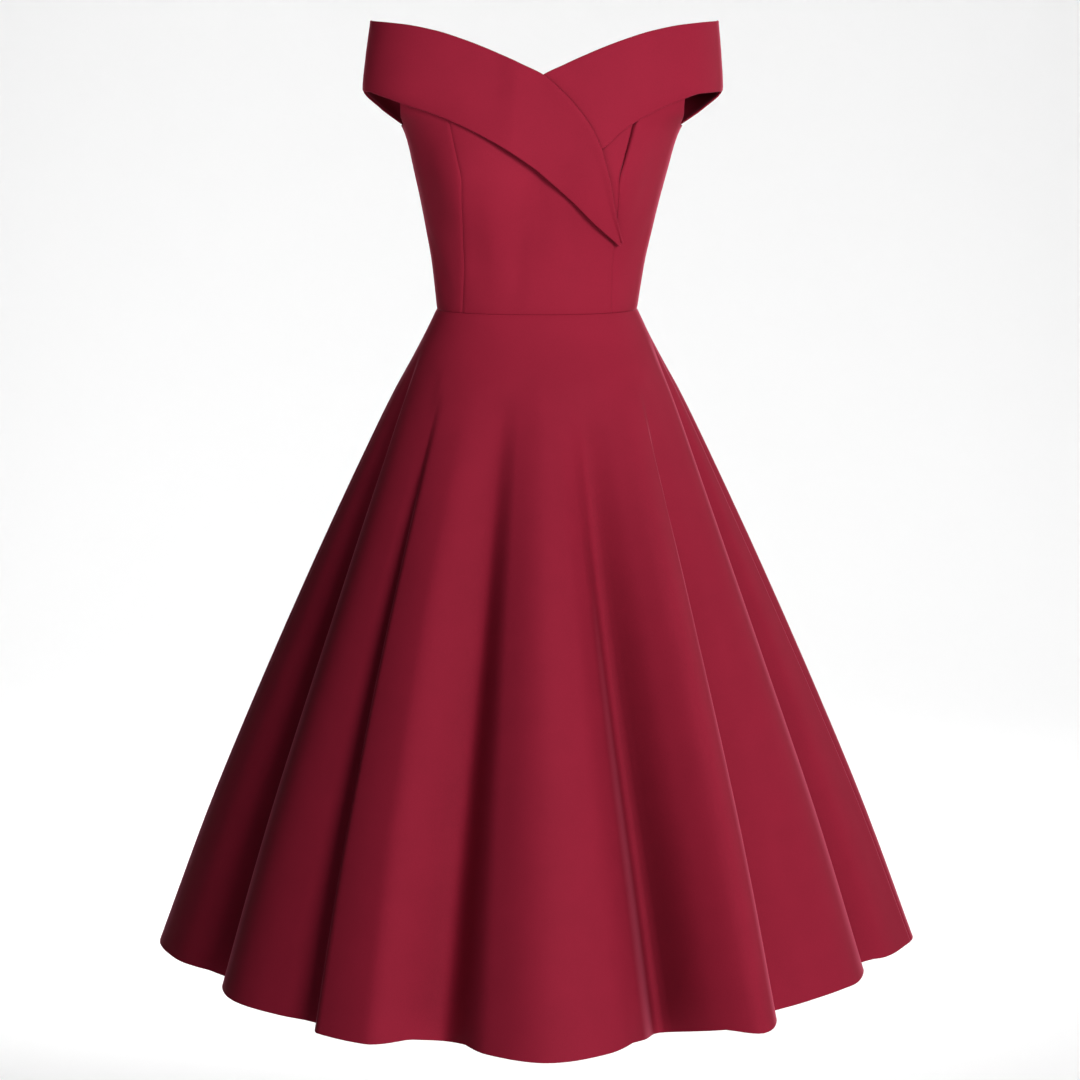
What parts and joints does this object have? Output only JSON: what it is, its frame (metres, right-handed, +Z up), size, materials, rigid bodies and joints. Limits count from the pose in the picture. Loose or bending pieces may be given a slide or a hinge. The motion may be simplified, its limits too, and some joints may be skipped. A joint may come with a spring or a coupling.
{
  "type": "off-shoulder dress",
  "caption": "Off-shoulder dress with a crossed fold-over collar, seamed bodice, fitted waist and a flared skirt in soft folds, closed by a back zip.",
  "frame": {"origin": "centre of the waist seam, where the wearer holds the dress up", "axes": "+Z up, the front faces -Y, +X is the wearer's left"},
  "size_m": [0.9352, 0.941, 1.1474],
  "materials": {
    "bodice_front_centre": "smooth matt crepe with a soft sheen",
    "bodice_side_front_left": "smooth matt crepe with a soft sheen",
    "bodice_side_front_right": "smooth matt crepe with a soft sheen",
    "bodice_back_left": "smooth matt crepe with a soft sheen",
    "bodice_back_right": "smooth matt crepe with a soft sheen",
    "skirt_front": "smooth matt crepe with a soft sheen",
    "skirt_back_left": "smooth matt crepe with a soft sheen",
    "skirt_back_right": "smooth matt crepe with a soft sheen",
    "collar_over_right": "smooth matt crepe with a soft sheen",
    "collar_under_left": "smooth matt crepe with a soft sheen",
    "zip_tape": "woven tape",
    "zip_slider": "dyed enamel",
    "zip_pull": "dyed enamel"
  },
  "bodies": {
    "dress": {"bodice_front_centre": "bodice_front_centre", "bodice_side_front_left": "bodice_side_front_left", "bodice_side_front_right": "bodice_side_front_right", "bodice_back_left": "bodice_back_left", "bodice_back_right": "bodice_back_right", "skirt_front": "skirt_front", "skirt_back_left": "skirt_back_left", "skirt_back_right": "skirt_back_right", "collar_over_right": "collar_over_right", "collar_under_left": "collar_under_left", "zip_tape": "zip_tape", "zip_slider": "zip_slider"},
    "pull": {"zip_pull": "zip_pull"}
  },
  "joints": [
    {"name": "pull_swing", "type": "hinge", "parent": "dress", "child": "pull", "pos_m": [0.00632, 0.10982, 0.24281], "axis": [1, 0, 0], "range_deg": [0, 170]}
  ]
}
